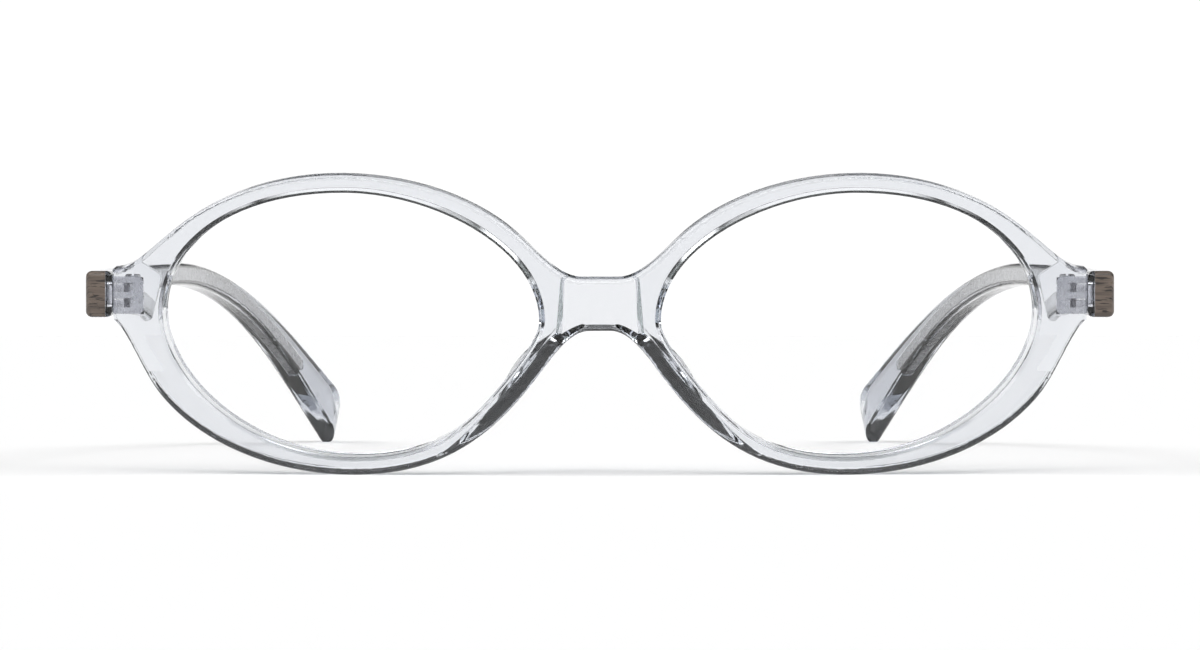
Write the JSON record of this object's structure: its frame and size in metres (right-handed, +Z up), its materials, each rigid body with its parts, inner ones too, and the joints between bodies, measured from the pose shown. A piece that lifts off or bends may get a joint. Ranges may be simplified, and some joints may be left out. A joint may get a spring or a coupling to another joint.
{
  "type": "eyeglasses",
  "caption": "Oval clear plastic eyeglasses with bevelled lenses, glued nose pads and folding wood-look temples on screwed knuckle hinges.",
  "frame": {"origin": "midway between the front's foremost point and the temple tips, on the mirror plane, at the level that the rims and tips rest on", "axes": "+X to the wearer's left, +Y from the front back along the temples, +Z up; the wearer looks along -Y"},
  "size_m": [0.1352, 0.1417, 0.0394],
  "materials": {
    "clear_acetate": "clear polished cellulose acetate with a faint grey tint",
    "clear_lens": "clear coated plastic lens",
    "hinge_metal": "bright nickel silver",
    "screw_metal": "bright steel",
    "core_metal": "drawn nickel silver wire, dark through the plastic",
    "wood_look_acetate": "brown wood-grain laminate, polished"
  },
  "bodies": {
    "front": {"frame_front": "clear_acetate", "lens_left": "clear_lens", "lens_right": "clear_lens", "nose_pad_left": "clear_acetate", "nose_pad_right": "clear_acetate", "front_hinge_left": "hinge_metal", "front_hinge_right": "hinge_metal", "hinge_screw_left": "screw_metal", "hinge_screw_right": "screw_metal"},
    "left_temple": {"temple_left": "clear_acetate", "temple_skin_left": "wood_look_acetate", "temple_core_left": "core_metal", "temple_hinge_left": "hinge_metal"},
    "right_temple": {"temple_right": "clear_acetate", "temple_skin_right": "wood_look_acetate", "temple_core_right": "core_metal", "temple_hinge_right": "hinge_metal"}
  },
  "joints": [
    {"name": "left_fold", "type": "hinge", "parent": "front", "child": "left_temple", "pos_m": [0.06125, -0.05687, 0.0237], "axis": [0, 0, 1], "range_deg": [0, 82]},
    {"name": "right_fold", "type": "hinge", "parent": "front", "child": "right_temple", "pos_m": [-0.06125, -0.05687, 0.0237], "axis": [0, 0, -1], "range_deg": [0, 75]}
  ]
}
